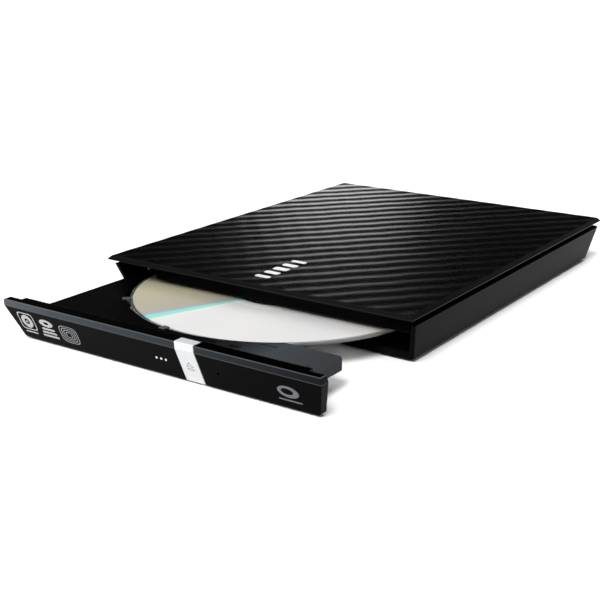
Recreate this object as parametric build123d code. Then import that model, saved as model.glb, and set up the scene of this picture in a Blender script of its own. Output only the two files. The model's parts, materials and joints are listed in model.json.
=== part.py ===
from build123d import *
import os
from math import cos, radians, sin

os.makedirs("parts", exist_ok=True)

# Millimetres. +Z is up, the tray slides out along -Y, +X is to the right seen from the front.
# Pieces are drawn with Y = 0 at the middle of the lid, with the tray part open, and are moved
# along Y as they are written, so that the origin is under the middle of the whole outline.

# ---- case ----
LID_W = 142.0          # lid, side to side
LID_D = 174.0          # lid, front to back
LID_TOP = 20.4         # top of the lid above the surface it stands on
LID_LOW = 18.6         # lower edge of the lid
LID_RIM = 0.4          # upright part of the lid's edge, below its bevel
LID_BEVEL = 1.4        # how far the bevel runs in
BASE_Z0 = 1.0          # underside of the base, held up by the feet
BASE_Z1 = 16.2         # rim of the base
BASE_W = 141.4         # base at its rim
BASE_FRONT = -83.4     # front edge of the base's walls at the rim
BASE_BACK = 86.7       # back of the base at the rim
BASE_TAPER = 3.7       # how far the sides lean in by the bottom
FRONT_TAPER = 5.85     # the same at the front
BACK_TAPER = 3.5       # the same at the back
WALL = 2.0             # base wall
FLOOR = 1.5            # base floor
SILL_Z = 4.0           # raised sill under the tray opening
COVER_W = 135.2        # inner cover, which is seen inside the shadow gap
COVER_D = 167.2
FOOT_R = 5.0
FEET = [(-54, -64), (54, -64), (-54, 69), (54, 69)]
CASE_SCREWS = [(-60, 76), (60, 76)]

# ---- slim drive ----
DRIVE_X = 63.9         # half width of the drive's case
DRIVE_Y0 = -71.0
DRIVE_Y1 = 56.0
DRIVE_Z0 = 3.0
SHEET = 0.7            # sheet metal
STEP_X = 27.9          # the case is deep left of here and shallow right of it
STEP_Z = 8.9
STEP_Y0 = -57.0        # the shallow part starts here, to clear the tray's right wing
PIN_X = 21.5           # latch pin
PIN_Y = -64.0

# ---- tray, shown part open ----
TRAY_OUT = 54.0        # from shut to the pose that is drawn
DISC_Y = -62.6         # spindle axis
DISC_R = 60.0
DISC_HOLE_R = 7.5
DISC_Z = 9.8           # underside of the disc
DISC_T = 1.2
TRAY_X0 = -62.8
TRAY_X1 = 24.6         # right edge of the tray behind its wing
TRAY_FRONT = -132.0
TRAY_BACK = -0.6
TRAY_TOP = 11.8
TRAY_LOW = 4.4
DECK_Z = 8.2           # underside of the tray's deck
RECESS_Z = 9.2
RECESS_R = 61.2
WING_X = 60.4
WING_BACK = -112.0
WING_Z = 7.5
SKIN = 1.0             # tray's side walls
RAIL_Y0 = -84.0
RAIL_Y1 = 19.0
RAIL_Z = (4.9, 9.4)
SLOT_Z = (5.9, 8.4)    # channel in each rail
TONGUE_Z = (6.2, 8.1)  # runner on the tray, inside the channel

# ---- front bezel ----
BEZEL_X = 71.0
BEZEL_Z0 = 0.8
BEZEL_Z1 = 16.3
BAND_Z = 13.7          # lower edge of the bezel's upright band
BEZEL_Y = -141.2       # top front edge
BEZEL_T = 3.0          # plate thickness at the top
RIDGE_R = 0.35         # rounding of the bezel's two long ridges
BLOCK_X = 64.5
BLOCK_Y = -136.0       # back of the thick middle
FACE_Y0 = BEZEL_Y + 0.2
FACE_Y1 = -135.5       # lower front edge
BEZEL_BACK_Y1 = -132.4
EJECT_X = 16.3
EJECT_W = 8.1
PIP_X = [1.5, 3.6, 5.7]
PIP_Z = 7.5
PIP_R = 0.45
PINHOLE_X = 28.3
PINHOLE_Z = 7.3
PINHOLE_R = 0.6

# ---- reading mechanism, in a frame of its own: U out along the pickup's path, V across it ----
TRAVERSE = Location((0, DISC_Y, 0), (0, 0, 225))
ROD_R = 0.8
ROD_V = 13.0
ROD_Z = 6.5
SCREW_V = 19.5
SCREW_R = 1.05
LENS_U = 24.0          # lens at rest, out from the spindle axis
SLED_TRAVEL = 34.0

BBOX_FRONT = BEZEL_Y - 0.1
SHIFT_Y = -(BBOX_FRONT + LID_D / 2) / 2


def block(x0, x1, y0, y1, z0, z1):
    """Box between two opposite corners."""
    return Pos((x0 + x1) / 2, (y0 + y1) / 2, (z0 + z1) / 2) * Box(x1 - x0, y1 - y0, z1 - z0)


def post(x, y, z0, z1, r):
    """Upright cylinder."""
    return Pos(x, y, (z0 + z1) / 2) * Cylinder(r, z1 - z0)


def rod_y(x, y0, y1, z, r):
    """Cylinder along Y."""
    return Pos(x, (y0 + y1) / 2, z) * Rot(90, 0, 0) * Cylinder(r, y1 - y0)


def rod_x(x0, x1, y, z, r):
    """Cylinder along X."""
    return Pos((x0 + x1) / 2, y, z) * Rot(0, 90, 0) * Cylinder(r, x1 - x0)


def prism_x(points, x0, x1):
    """Outline in Y and Z, carried along X."""
    return Pos(x0, 0, 0) * extrude(Plane.YZ * make_face(Polyline(*points, close=True)), x1 - x0)


def prism_y(points, y0, y1):
    """Outline in X and Z, carried along Y."""
    return Pos(0, y1, 0) * extrude(Plane.XZ * make_face(Polyline(*points, close=True)), y1 - y0)


def prism_z(points, z0, z1):
    """Outline in X and Y, carried upwards."""
    return Pos(0, 0, z0) * extrude(make_face(Polyline(*points, close=True)), z1 - z0)


def frustum(low, high, z0, z1, corner=0.0):
    """Solid between two rectangles, each given as x half width, y front, y back."""
    faces = []
    for (half, front, back), z in ((low, z0), (high, z1)):
        size = (2 * half, back - front)
        outline = RectangleRounded(*size, corner) if corner else Rectangle(*size)
        faces.append(Pos(0, (front + back) / 2, z) * outline)
    return loft(faces, ruled=True)


def forward(section, by):
    """The same section with its front edge moved forward."""
    half, front, back = section
    return half, front - by, back


def screw(x, y, z, head_r, head_h, shank_r, length):
    """Screw driven upwards from z, with a cross recess in its head."""
    body = post(x, y, z, z + head_h, head_r) + post(x, y, z + head_h - 0.01, z + head_h + length, shank_r)
    cross = Box(head_r * 1.2, 0.4, 0.9) + Box(0.4, head_r * 1.2, 0.9)
    return body - Pos(x, y, z) * cross


def base_section(z, inset):
    """Half width, front and back of the base's outside at a height, less an inset."""
    down = (BASE_Z1 - z) / (BASE_Z1 - BASE_Z0)
    half = BASE_W / 2 - BASE_TAPER * down - inset
    front = BASE_FRONT + FRONT_TAPER * down
    back = BASE_BACK - BACK_TAPER * down - inset
    return half, front, back


# ------------------------------------------------------------------ case

def base_shell():
    """Tub with leaning walls, open at the front for the tray."""
    z_bevel = BASE_Z0 + 0.8
    half, front, back = base_section(BASE_Z0, 0.8)
    tub = frustum((half, front - 6, back), forward(base_section(z_bevel, 0), 6), BASE_Z0, z_bevel, 2.4)
    tub += frustum(forward(base_section(z_bevel, 0), 6), forward(base_section(BASE_Z1, 0), 6), z_bevel, BASE_Z1, 2.4)
    lean = FRONT_TAPER / (BASE_Z1 - BASE_Z0)
    ahead = [(BASE_FRONT - 20, 0), (BASE_FRONT + lean * BASE_Z1, 0), (BASE_FRONT - lean, BASE_Z1 + 1),
             (BASE_FRONT - 20, BASE_Z1 + 1)]
    tub -= prism_x(ahead, -80, 80)
    z_floor = BASE_Z0 + FLOOR
    z_over = BASE_Z1 + 1.0
    low = base_section(z_floor, WALL)
    high = base_section(z_over, WALL)
    front = BASE_FRONT - 10
    tub -= frustum((low[0], -72, low[2]), (high[0], -72, high[2]), z_floor, z_over)
    sill_low = base_section(SILL_Z, WALL)
    tub -= frustum((sill_low[0], front, -71), (high[0], front, -71), SILL_Z, z_over)
    for x, y in CASE_SCREWS:
        tub += post(x, y, BASE_Z0 + 0.5, 9.0, 3.4)
    for x in (-40, 40):
        tub += post(x, 77, z_floor - 0.1, 3.95, 2.4) - post(x, 77, z_floor, 4.0, 0.85)
    tub += post(-60, 62.5, z_floor - 0.1, 5.0, 2.6) - post(-60, 62.5, z_floor, 5.1, 0.95)
    for x in (-40, -14, 12):
        tub += block(x - 0.6, x + 0.6, -66, 52, z_floor - 0.1, 2.95)
    for side in (-1, 1):
        for y in (-58, -8, 42):
            tub += block(*sorted((side * 66.9, side * 68.2)), y - 4, y + 4, 12.0, 12.8)
    for x, y in CASE_SCREWS:
        tub -= post(x, y, 0, 2.4, 2.6) + post(x, y, 2, 9.1, 1.35)
    for x, y in FEET:
        tub -= post(x, y, 0, BASE_Z0 + 0.5, FOOT_R + 0.2)
    tub -= block(25.6, 34.4, 80.5, 90, 4.8, 9.8)
    tub -= block(-38, 38, -22, 24, 0, BASE_Z0 + 0.25)
    return tub


def lid_panel():
    """Outer lid with its bevelled edge."""
    half, back = LID_W / 2, LID_D / 2
    rim = block(-half, half, -back, back, LID_LOW, LID_LOW + LID_RIM)
    low = (half, -back, back)
    high = (half - LID_BEVEL, -back + LID_BEVEL, back - LID_BEVEL)
    return rim + frustum(low, high, LID_LOW + LID_RIM, LID_TOP)


def top_cover():
    """Inner cover under the lid, with the skirt, the lip over the tray and the screw bosses."""
    x, y = COVER_W / 2, COVER_D / 2
    z0, z1 = 17.2, 18.5
    skin = 1.2
    cover = block(-x, x, -y, y, z0, z1)
    for side in (-1, 1):
        cover += block(*sorted((side * (x - skin), side * x)), -79.4, y, 14.6, z0)
        for at in (-58, -8, 42):
            cover += block(*sorted((side * 66.0, side * 66.6)), at - 3, at + 3, 11.0, z0)
            cover += block(*sorted((side * 66.0, side * 67.25)), at - 3, at + 3, 11.0, 11.7)
    cover += block(-x, x, y - skin, y, 14.6, z0)
    lip = [(-81.4, z0), (-81.4, 12.5), (-81.1, 12.2), (-79.4, 12.2), (-79.4, z0)]
    cover += prism_x(lip, -50, x - 0.6)
    cover += block(-53.4, -52.6, -81.4, -79.4, 14.4, z0)
    for px, py in CASE_SCREWS:
        cover += post(px, py, 9.2, z0, 3.2)
    for px, py in CASE_SCREWS:
        cover -= post(px, py, 9.1, 15.5, 1.25)
    return cover


def rubber_feet():
    """Four domed pads, set in shallow recesses."""
    feet = Part()
    for x, y in FEET:
        pad = post(x, y, 0, BASE_Z0 + 0.45, FOOT_R)
        feet += fillet([e for e in pad.edges() if e.center().Z < 0.1], 0.35)
    return feet


def case_screws():
    """Two screws that hold the base to the inner cover."""
    return Part() + [screw(x, y, 1.15, 2.3, 1.2, 1.2, 10.5) for x, y in CASE_SCREWS]


def foam_pads():
    """Two strips that press on the drive from above."""
    return block(-34, 34, -52, -44, 15.65, 17.15) + block(-34, 34, 30, 38, 15.65, 17.15)


def bridge_board():
    """Circuit board behind the drive, which turns its signals into USB."""
    board = block(-46, 46, 63, 81.0, 4.0, 5.2)
    for x in (-40, 40):
        board -= post(x, 77, 3.9, 5.3, 1.1)
    return board


def board_chips():
    """Bridge chip, memory, crystal and capacitors."""
    chips = block(-8, 4, 67, 79, 5.2, 6.4) + block(8, 13, 69, 75, 5.2, 6.2)
    chips += block(15, 22, 64.5, 68, 5.2, 7.6)
    for x in (-28, -24, -20, -16):
        chips += block(x, x + 2, 72, 73.4, 5.2, 6.1)
    for x in (37, 41.5):
        chips += post(x, 68.5, 5.2, 9.6, 1.9)
    return chips


def board_screws():
    """Two screws that hold the board to the base's posts."""
    screws = Part()
    for x in (-40, 40):
        screws += post(x, 77, 3.0, 5.25, 0.8) + post(x, 77, 5.22, 6.2, 1.8) - Pos(x, 77, 6.2) * Box(2.4, 0.4, 0.9)
    return screws


def usb_outline(grow):
    """Small USB socket's outline in X and Z."""
    x, z0, z1 = 30.0, 5.3, 9.3
    w, n = 3.9 + grow, 2.9 + grow
    return [(x - n, z0 - grow), (x + n, z0 - grow), (x + n, z0 + 1.0), (x + w, z0 + 1.7), (x + w, z1 + grow),
            (x - w, z1 + grow), (x - w, z0 + 1.7), (x - n, z0 + 1.0)]


def usb_socket():
    """Steel shell of the socket, open to the back."""
    return prism_y(usb_outline(0), 75.4, 84.4) - prism_y(usb_outline(-0.4), 76.2, 85)


def usb_tongue():
    """Contact block inside the socket."""
    return block(27.5, 32.5, 76.25, 77.4, 5.8, 8.8) + block(28.1, 31.9, 77.3, 83.2, 6.9, 7.9)


def sata_plug():
    """Connector on the board's front edge that meets the drive."""
    plug = block(-36, -8, 59.2, 66, 5.25, 9.0) - block(-34.5, -9.5, 59.1, 62.5, 6.3, 8.2)
    return plug + block(-33.5, -10.5, 53.5, 62.6, 6.4, 6.8)


def drive_case():
    """Lower half of the drive's sheet metal case, with its step on the right."""
    x, y0, y1, z0, z1 = DRIVE_X, DRIVE_Y0, DRIVE_Y1, DRIVE_Z0, 14.8
    case = block(-x, STEP_X, y0, y1, z0, z0 + SHEET)
    case += block(-x, -x + SHEET, y0, y1, z0, z1)
    case += block(STEP_X - SHEET, STEP_X, y0, y1, z0, 7.1)
    case += block(STEP_X - SHEET, STEP_X, STEP_Y0, y1, 7.0, STEP_Z)
    case += block(STEP_X - SHEET, x, STEP_Y0, y1, STEP_Z - SHEET, STEP_Z)
    case += block(x - SHEET, x, STEP_Y0, y1, STEP_Z - SHEET, z1)
    case += block(x - SHEET, x, y0, y1, 12.4, z1)
    case += block(-x, STEP_X, y1 - SHEET, y1, z0, z1)
    case += block(STEP_X - SHEET, x, y1 - SHEET, y1, STEP_Z - SHEET, z1)
    case -= block(-37, -7, y1 - 2, y1 + 2, 4.6, 9.4)
    case -= block(STEP_X - 1, STEP_X + 1, y0 - 1, -64.5, 5.3, 7.6)
    for px, py in ((-50, -60), (12, -60), (-50, 44), (12, 44)):
        case -= post(px, py, z0 - 1, z0 + 2, 1.2)
    return case


def drive_cover():
    """Upper half of the drive's sheet metal case."""
    x, y0, y1 = DRIVE_X + 0.7, DRIVE_Y0, DRIVE_Y1 + 0.6
    cover = block(-x, x, y0, y1, 15.0, 15.6)
    for side in (-1, 1):
        cover += block(*sorted((side * (DRIVE_X + 0.1), side * x)), y0, y1, 11.0, 15.3)
    cover += block(-x, x, DRIVE_Y1 + 0.1, y1, 10.0, 15.3)
    cover -= post(0, DISC_Y + TRAY_OUT, 15.4, 16, 30) - post(0, DISC_Y + TRAY_OUT, 15.3, 16.1, 29)
    return cover


def drive_bracket():
    """Bent steel tab that fixes the drive to the base."""
    tab = block(-64, -56, 56.7, 66, 5.05, 5.85) + block(-64, -56, 56.7, 57.5, 5.05, 12.5)
    return tab - post(-60, 62.5, 5, 6, 1.15) - rod_y(-60, 56, 58, 10.5, 0.95)


def bracket_screws():
    """Screws through the two legs of the bracket."""
    down = post(-60, 62.5, 3.2, 5.9, 0.9) + post(-60, 62.5, 5.88, 6.9, 1.9) - Pos(-60, 62.5, 6.9) * Box(2.6, 0.4, 0.9)
    back = rod_y(-60, 57.55, 58.5, 10.5, 1.7) + rod_y(-60, 56.7, 57.6, 10.5, 0.85)
    return down + (back - Pos(-60, 58.5, 10.5) * Box(2.4, 0.9, 0.4))


def rear_board():
    """Small board fixed at the back of the drive."""
    return block(-40, -4, 46.6, 55.0, 3.9, 4.7)


def sata_socket():
    """Drive's rear connector, through the case's back wall."""
    shell = block(-36, -8, 48, 56.4, 4.7, 8.0)
    return shell - block(-34.5, -9.5, 52, 57.5, 5.8, 7.4)


def rail_guides():
    """Plastic strips that the rails slide on."""
    left = block(-63.1, -61.2, -70, 55, 3.8, 4.6)
    right = block(25.2, 27.1, -70, 55, 3.8, 4.6)
    return left + right


def latch_pin():
    """Fixed pin that the tray's latch holds when it is shut."""
    return post(PIN_X, PIN_Y, DRIVE_Z0 + SHEET + 0.02, 6.1, 0.8)


def flat_cable():
    """Ribbon folded in a long U under the tray, from the rear board forward."""
    y_end, y_fold, r, t = 46.5, -56.0, 0.2, 0.12
    z = 4.05
    outer = r + t / 2
    inner = r - t / 2
    ribbon = block(-38, -10, y_fold, y_end, z - outer, z - inner)
    ribbon += block(-38, -10, y_fold, -12, z + inner, z + outer)
    bend = rod_x(-38, -10, y_fold, z, outer) - rod_x(-39, -9, y_fold, z, inner)
    return ribbon + (bend - block(-39, -9, y_fold, y_fold + 2, 3, 5))


# ------------------------------------------------------------------ tray

def window():
    """Opening in the tray's deck for the spindle and the pickup."""
    hole = Pos(0, 0, 9) * Cylinder(15.5, 8) + block(0, 64, -17, 17, 5, 13)
    return TRAVERSE * (hole & Pos(0, 0, 9) * Cylinder(RECESS_R, 10))


def tray():
    """Moulded drawer: deck with the disc recess, side walls, runners and the right wing."""
    y0, y1 = TRAY_FRONT, TRAY_BACK
    body = block(TRAY_X0, TRAY_X1, y0, y1, DECK_Z, TRAY_TOP)
    body += block(TRAY_X0, WING_X, -135.7, y0 + 0.1, 10.6, TRAY_TOP)
    wing = block(TRAY_X1 - 1, WING_X, y0, WING_BACK, WING_Z, TRAY_TOP)
    corner = [e for e in wing.edges().filter_by(Axis.Z) if e.center().X > 50 and e.center().Y > -115]
    wing = fillet(corner, 2.2)
    body += wing
    x_in = TRAY_X0 + 2.2
    body -= block(TRAY_X0 - 1, x_in, y0 + 7, y1 + 1, DECK_Z - 1, 9.8)
    body += block(x_in, x_in + SKIN, y0, y1, TRAY_LOW, DECK_Z + 0.1)
    body += block(TRAY_X1 - SKIN, TRAY_X1, y0, y1, TRAY_LOW, DECK_Z + 0.1)
    body += block(x_in, TRAY_X1, y0, y0 + SKIN, TRAY_LOW, DECK_Z + 0.1)
    body += block(x_in, TRAY_X1, y1 - SKIN, y1, TRAY_LOW, DECK_Z + 0.1)
    body += block(x_in, -44, -10, -9, TRAY_LOW, DECK_Z + 0.1)
    body += block(-62.0, x_in + 0.1, y0 + 7, -9, *TONGUE_Z)
    body += block(TRAY_X1 - 0.1, 26.0, WING_BACK + 0.5, y1, *TONGUE_Z)
    body -= block(TRAY_X0 - 1, -44, -9, 1, 0, 20)
    body -= block(-41, -3, -8, 1, 4, DECK_Z)
    body -= Pos(0, DISC_Y, RECESS_Z + 5) * Cylinder(RECESS_R, 10)
    body -= Pos(0, DISC_Y, RECESS_Z + 4.6) * Cylinder(41, 10)
    body -= window()
    body -= block(PIN_X - 1.5, TRAY_X1 + 2, y1 - 2, y1 + 1, 4, 6.6)
    body -= rod_y(-52, -11, -8, 6.3, 1.15)
    body -= block(EJECT_X - 1.2, EJECT_X + 1.2, y0 - 1, y0 + 2, 6.2, 8.6)
    body -= block(TRAY_X1 - 2, TRAY_X1 + 1, -122.4, -118.0, 5.3, 7.4)
    body -= block(13.8, 16.4, -125.4, -124.2, 10.6, 13) + block(22, 26.5, -125.4, -123.0, 10.6, 13)
    body -= block(30, 37, -118.0, -116.8, 10.6, 13) + block(55, 56.6, -126.8, -125.6, 10.6, 13)
    body += post(16.5, -104, TRAY_LOW + 0.1, DECK_Z + 0.1, 0.8)
    body += post(-28, -20, 5.65, DECK_Z + 0.1, 1.6) + post(6, -20, 5.65, DECK_Z + 0.1, 1.6)
    bevel = prism_y([(WING_X - 1.7, TRAY_TOP + 0.1), (WING_X + 0.1, TRAY_TOP + 0.1), (WING_X + 0.1, TRAY_TOP - 1.0)],
                    -136, WING_BACK + 1)
    return body - bevel - hooks(0.1)


def hooks(grow):
    """Blocks of the disc hooks, grown by a clearance."""
    blocks = Part()
    for angle in (150, 225, 262):
        a = radians(angle)
        x, y = 61.2 * cos(a), DISC_Y + 61.2 * sin(a)
        blocks += Pos(x, y, TRAY_TOP - 0.25) * Rot(0, 0, angle) * Box(3.0 + grow, 2.6 + grow, 0.9 + grow)
    return blocks


def disc_tabs():
    """Small sprung hooks at the recess's edge that keep a disc in when the drive stands up."""
    return hooks(0)


def face_y(z, y_top, y_low, z_top):
    """Y of a leaning face at a height."""
    return y_top + (y_low - y_top) * (z_top - z) / (z_top - BEZEL_Z0)


def bezel_plate_outline():
    """Bezel plate in Y and Z: upright band, leaning face and the back that follows it."""
    return [(BEZEL_Y, BEZEL_Z1), (FACE_Y0, BAND_Z), (FACE_Y1, BEZEL_Z0), (BEZEL_BACK_Y1, BEZEL_Z0),
            (BEZEL_Y + BEZEL_T, BEZEL_Z1)]


def front_bezel():
    """Trapezoid front, cut for the eject strip, the three lights and the pinhole."""
    low_x = BEZEL_X - 4.1
    outline = [(-BEZEL_X, BEZEL_Z1), (BEZEL_X, BEZEL_Z1), (BEZEL_X, BAND_Z), (low_x, BEZEL_Z0),
               (-low_x, BEZEL_Z0), (-BEZEL_X, BAND_Z)]
    front = make_face(Polyline(*outline, close=True))
    tops = [v for v in front.vertices() if v.Y > 16]
    front = fillet(tops, 0.9)
    lows = [v for v in front.vertices() if v.Y < 1]
    front = fillet(lows, 1.4)
    slab = Pos(0, -130, 0) * extrude(Plane.XZ * front, 14)
    section = make_face(Polyline(*bezel_plate_outline(), close=True))
    ridges = [v for v in section.vertices() if v.X < FACE_Y0 + 0.1]
    section = fillet(ridges, RIDGE_R)
    plate = (Pos(-BEZEL_X, 0, 0) * extrude(Plane.YZ * section, 2 * BEZEL_X)) & slab
    plate += block(-BLOCK_X, BLOCK_X, BEZEL_Y + 2.8, BLOCK_Y, 8.2, BEZEL_Z1)
    half = EJECT_W / 2 + 0.2
    groove = [(BEZEL_Y - 2, BEZEL_Z1 + 1), (BLOCK_Y - 0.4, BEZEL_Z1 + 1), (BLOCK_Y - 0.4, 15.0), (BEZEL_Y + 1.9, 15.0),
              (FACE_Y0 + 1.9, BAND_Z), (FACE_Y1 + 1.9, BEZEL_Z0 - 0.1), (FACE_Y1 - 3, BEZEL_Z0 - 0.1), (BEZEL_Y - 2, BAND_Z)]
    plate -= prism_x(groove, EJECT_X - half, EJECT_X + half)
    plate -= block(EJECT_X - 1.1, EJECT_X + 1.1, -140, -131, 6.3, 8.5)
    for x in PIP_X:
        plate -= rod_y(x, -142, -130, PIP_Z, PIP_R + 0.03)
    plate -= rod_y(PINHOLE_X, -142, -130, PINHOLE_Z, PINHOLE_R)
    return plate


def eject_button():
    """Silver strip over the bezel's front and top, with the stem that works the switch."""
    t = 1.1
    outline = [(BLOCK_Y - 1.3, BEZEL_Z1 + 0.15), (BEZEL_Y - 0.1, BEZEL_Z1 + 0.15), (FACE_Y0 - 0.1, BAND_Z),
               (FACE_Y1 - 0.1, BEZEL_Z0), (FACE_Y1 - 0.1 + t, BEZEL_Z0), (FACE_Y0 - 0.1 + t, BAND_Z),
               (BEZEL_Y - 0.1 + t, 15.3), (BLOCK_Y - 1.3, 15.3)]
    section = make_face(Polyline(*outline, close=True))
    ridges = [v for v in section.vertices() if v.X < FACE_Y0 and v.Y > BAND_Z - 0.1]
    section = fillet(ridges, RIDGE_R)
    strip = Pos(EJECT_X - EJECT_W / 2, 0, 0) * extrude(Plane.YZ * section, EJECT_W)
    y_back = face_y(7.4, FACE_Y0, FACE_Y1, BAND_Z) + 0.6
    return strip + block(EJECT_X - 0.8, EJECT_X + 0.8, y_back, -131.3, 6.6, 8.2)


def light_pipe():
    """Clear bar whose three pins carry the light to the bezel's face."""
    bar = block(PIP_X[0] - 1.2, PIP_X[-1] + 1.2, -134.3, -133.0, PIP_Z - 0.9, PIP_Z + 0.9)
    y_face = face_y(PIP_Z, FACE_Y0, FACE_Y1, BAND_Z)
    for x in PIP_X:
        bar += rod_y(x, y_face - 0.05, -134.2, PIP_Z, PIP_R)
    return bar


def front_board():
    """Board behind the bezel, with the lamp and the eject switch."""
    lamp = block(PIP_X[1] - 1.2, PIP_X[1] + 1.2, -130.6, -129.2, 5.7, 8.0)
    return block(-1, EJECT_X + 2, -130.6, -119.2, 5.0, 5.8) + lamp


def eject_switch():
    """Push switch on the front board."""
    body = block(EJECT_X - 2, EJECT_X + 2, -129.8, -127.4, 5.85, 8.1)
    return body + rod_y(EJECT_X, -130.6, -129.7, 7.3, 0.7)


def emergency_lever():
    """Sliding lever behind the pinhole, which frees the latch without power."""
    x0, x1 = PINHOLE_X - 1.3, PINHOLE_X + 1.3
    return block(x0, x1, -131.4, -120.0, 5.6, 7.3) + block(23.2, x1, -121.6, -120.0, 5.6, 7.1)


def latch_hook():
    """Hook that holds the tray shut on the case's pin."""
    outline = [(15.0, -102.4), (18.0, -102.4), (19.4, -114.2), (22.4, -115.2), (22.4, -116.7), (20.2, -116.7),
               (17.6, -115.8), (15.0, -104.6)]
    return prism_z(outline, 4.6, 6.2) - post(16.5, -104, 4, 7, 0.86)


def latch_solenoid():
    """Coil that pulls the latch, with its core."""
    return block(3, 11.4, -112, -105, 4.7, 7.9) + rod_x(11.3, 13.2, -108.5, 6.2, 0.9)


def main_board():
    """Control board under the back of the tray."""
    return block(-43, 18, -42, -8, 4.8, 5.6)


def main_chips():
    """Controller, memory, motor driver and ribbon socket."""
    chips = block(-22, -10, -40, -28, 5.6, 6.7) + block(-4, 4, -40, -32, 5.6, 6.6) + block(-40, -31, -40, -31, 5.6, 6.6)
    chips += block(-38, -14, -13, -9.5, 5.6, 6.8)
    for x in (-8, -5, -2, 1):
        chips += block(x, x + 1.6, -27, -26, 5.6, 6.2)
    return chips


def eject_plunger():
    """Sprung rod at the tray's back that pushes it off the case's back wall."""
    return rod_y(-52, -31, 0.9, 6.3, 1.0) + rod_y(-52, -13.2, -12.0, 6.3, 1.7)


def plunger_guide():
    """Block that holds the plunger and the far end of its spring."""
    return block(-55, -49, -31, -28.5, TRAY_LOW + 0.2, DECK_Z) - rod_y(-52, -32, -28, 6.3, 1.08)


def eject_spring():
    """Spring round the plunger, as the tube that its coils fill."""
    return rod_y(-52, -28.4, -13.3, 6.3, 1.65) - rod_y(-52, -29, -13, 6.3, 1.2)


def rail(x_out, x_in):
    """Steel runner with a channel that faces the tray."""
    side = 1 if x_in > x_out else -1
    body = block(*sorted((x_out, x_in)), RAIL_Y0, RAIL_Y1, *RAIL_Z)
    return body - block(*sorted((x_out + side * 0.7, x_in + side)), RAIL_Y0 - 1, RAIL_Y1 + 1, *SLOT_Z)


def left_rail():
    """Left runner, which follows the tray at half its travel."""
    return rail(-62.9, -61.0)


def right_rail():
    """Right runner, beside the step in the case."""
    return rail(26.9, 25.0)


# ------------------------------------------------------------------ reading mechanism

def traverse_frame():
    """Pressed steel frame that carries the spindle motor, the rods and the screw."""
    outline = [(-13, -13), (-13, 13), (8, 15), (8, 24), (68.5, 24), (68.5, -15), (8, -15)]
    frame = prism_z(outline, 4.6, 5.1)
    frame -= block(17, 65, -11, 16, 4, 6)
    for v in (-ROD_V, ROD_V):
        for u0, u1 in ((11.4, 12.9), (66.6, 68.2)):
            frame += block(u0, u1, v - 1.4, v + 1.4, 5.0, 7.7)
    frame += block(10.4, 12.9, SCREW_V - 1.6, SCREW_V + 1.6, 5.0, 7.9)
    for v in (-ROD_V, ROD_V):
        frame -= rod_x(11, 69, v, ROD_Z, ROD_R + 0.02)
    frame -= rod_x(10, 13, SCREW_V, ROD_Z, 0.76)
    return TRAVERSE * frame


def guide_rods():
    """Two ground steel rods that the pickup slides on."""
    rods = rod_x(11.5, 68.1, -ROD_V, ROD_Z, ROD_R) + rod_x(11.5, 68.1, ROD_V, ROD_Z, ROD_R)
    return TRAVERSE * rods


def lead_screw():
    """Screw that drives the pickup, with rounded threads drawn as rings."""
    pitch, depth = 2.0, 0.3
    points = [(10.6, 0), (10.6, 0.7), (13.6, 0.7), (13.6, SCREW_R)]
    u = 14.6
    while u < 54.5:
        points += [(u, SCREW_R), (u + 0.5, SCREW_R - depth), (u + 1.0, SCREW_R)]
        u += pitch
    points += [(56.0, SCREW_R), (56.0, 0.7), (61.0, 0.7), (61.0, 0)]
    spun = revolve(make_face(Polyline(*points, close=True)), Axis.X)
    return TRAVERSE * Pos(0, SCREW_V, ROD_Z) * spun


def sled_motor():
    """Stepper motor at the outer end of the screw."""
    body = block(56.4, 66.4, 16.7, 22.3, 5.2, 8.0)
    return TRAVERSE * (body - rod_x(56, 61.5, SCREW_V, ROD_Z, 0.76))


def motor_base():
    """Spindle motor's plate, windings and bearing sleeve."""
    base = post(0, 0, 5.15, 5.7, 13.2)
    base += post(0, 0, 5.6, 7.5, 10.0) - post(0, 0, 5.7, 8, 4.6)
    base += post(0, 0, 5.6, 7.7, 2.4)
    return TRAVERSE * (base - post(0, 0, 5.4, 8, 1.05))


def rotor():
    """Motor's turning can and shaft."""
    can = post(0, 0, 6.1, 8.5, 12.6) - post(0, 0, 6.0, 8.0, 11.9)
    return TRAVERSE * (can + post(0, 0, 5.5, 8.1, 1.0))


def turntable():
    """Table and hub that centre and hold the disc, slotted for the clamp pawls."""
    table = post(0, 0, 8.5, DISC_Z, 13.5) + post(0, 0, DISC_Z - 0.1, 12.0, 7.3)
    table = fillet([e for e in table.edges() if e.center().Z > 11.9], 0.5)
    for k in range(3):
        table -= Rot(0, 0, 120 * k) * block(3.0, 8.0, -1.5, 1.5, 11.0, 11.8)
    return TRAVERSE * table


def clamp_pawl(k):
    """Sprung pawl that reaches over the disc's inner edge."""
    outline = [(3.9, 11.1), (7.6, 11.1), (8.1, 11.4), (7.6, 11.7), (3.9, 11.7)]
    return TRAVERSE * Rot(0, 0, 120 * k) * prism_y(outline, -1.3, 1.3)


def optical_disc():
    """120 mm disc, laid in the tray and held by the hub."""
    disc = post(0, 0, DISC_Z, DISC_Z + DISC_T, DISC_R) - post(0, 0, 9, 12, DISC_HOLE_R)
    return TRAVERSE * disc


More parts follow.
